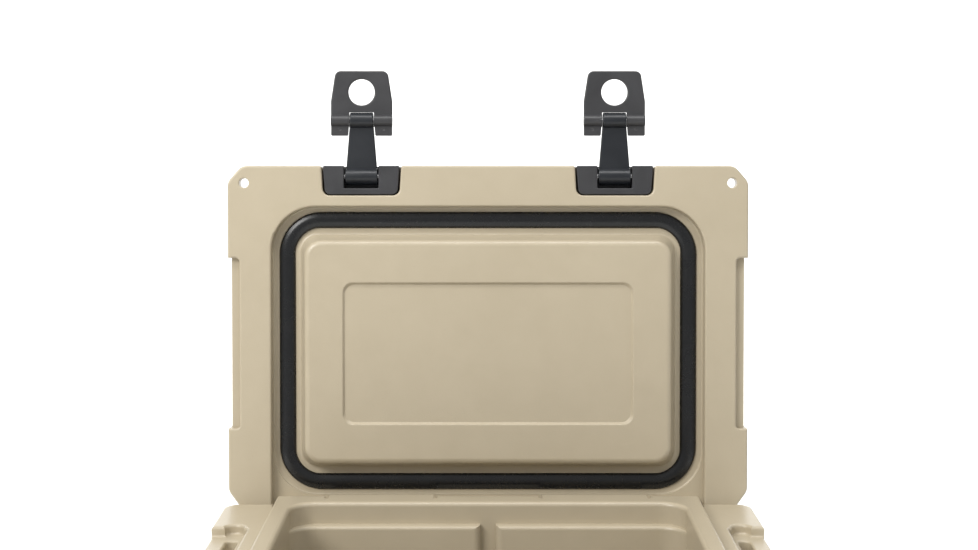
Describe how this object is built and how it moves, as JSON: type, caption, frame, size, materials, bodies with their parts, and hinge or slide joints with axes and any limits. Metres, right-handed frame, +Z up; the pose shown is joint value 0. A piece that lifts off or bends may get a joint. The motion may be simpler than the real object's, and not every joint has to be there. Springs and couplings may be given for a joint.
{
  "type": "cooler chest",
  "caption": "Hard-sided cooler chest: hollow foam-filled body and hinged lid with a rubber seal, pull-over latches, side grips, feet and a drain.",
  "frame": {"origin": "centre of the body's moulded underside, 6 mm above the floor that the rubber feet stand on", "axes": "+X to the right across the chest's width, -Y towards its front (the latch side), +Z up"},
  "size_m": [0.5158, 0.4245, 0.7317],
  "materials": {
    "shell_tan": "satin",
    "fill_plug": "matte",
    "foam_core": "matte",
    "foot_rubber": "matte",
    "steel": "satin",
    "cap_black": "satin",
    "drain_black": "satin",
    "seal_rubber": "matte",
    "gasket_rubber": "satin",
    "latch_black": "satin",
    "link_black": "satin"
  },
  "bodies": {
    "chest": {"body_shell": "shell_tan", "body_foam": "foam_core", "body_fill_plug": "fill_plug", "rubber_foot_front_left": "foot_rubber", "rubber_foot_front_right": "foot_rubber", "rubber_foot_rear_left": "foot_rubber", "rubber_foot_rear_right": "foot_rubber", "foot_screws": "steel", "drain_bushing": "drain_black", "drain_washer": "seal_rubber", "drain_nut": "drain_black", "hinge_rod": "steel", "keeper_left": "latch_black", "keeper_right": "latch_black", "keeper_screws_left": "steel", "keeper_screws_right": "steel"},
    "lid": {"lid_shell": "shell_tan", "lid_foam": "foam_core", "lid_fill_plugs": "fill_plug", "lid_gasket": "gasket_rubber", "hinge_caps": "cap_black", "latch_housing_left": "latch_black", "latch_housing_right": "latch_black", "housing_screws_left": "steel", "housing_screws_right": "steel", "link_pin_left": "steel", "link_pin_right": "steel"},
    "drain_seal": {"drain_plug_seal": "seal_rubber"},
    "drain_plug": {"drain_plug": "drain_black"},
    "link_left": {"latch_link_left": "link_black"},
    "lever_left": {"latch_lever_left": "latch_black", "lever_pin_left": "steel"},
    "link_right": {"latch_link_right": "link_black"},
    "lever_right": {"latch_lever_right": "latch_black", "lever_pin_right": "steel"}
  },
  "joints": [
    {"name": "lid_hinge", "type": "hinge", "parent": "chest", "child": "lid", "pos_m": [0, 0.17, 0.294], "axis": [1, 0, 0], "range_deg": [0, 95]},
    {"name": "link_swing_left", "type": "hinge", "parent": "lid", "child": "link_left", "pos_m": [-0.1251, 0.21773, 0.62159], "axis": [1, 0, 0], "range_deg": [-30, 90]},
    {"name": "lever_swing_left", "type": "hinge", "parent": "link_left", "child": "lever_left", "pos_m": [-0.1251, 0.22256, 0.67678], "axis": [1, 0, 0], "range_deg": [-110, 0]},
    {"name": "link_swing_right", "type": "hinge", "parent": "lid", "child": "link_right", "pos_m": [0.1251, 0.21773, 0.62159], "axis": [1, 0, 0], "range_deg": [-30, 90]},
    {"name": "lever_swing_right", "type": "hinge", "parent": "link_right", "child": "lever_right", "pos_m": [0.1251, 0.22256, 0.67678], "axis": [1, 0, 0], "range_deg": [-110, 0]},
    {"name": "drain_unscrew", "type": "slide", "parent": "chest", "child": "drain_seal", "axis": [1, 0, 0], "range_m": [0, 0.012]},
    {"name": "drain_turn", "type": "hinge", "parent": "drain_seal", "child": "drain_plug", "pos_m": [0.24, 0.095, 0.06], "axis": [1, 0, 0], "range_deg": [0, 1440]}
  ],
  "couplings": [
    {"joint": "drain_turn", "follows": "drain_unscrew", "rad_per_m": 2094.4}
  ]
}
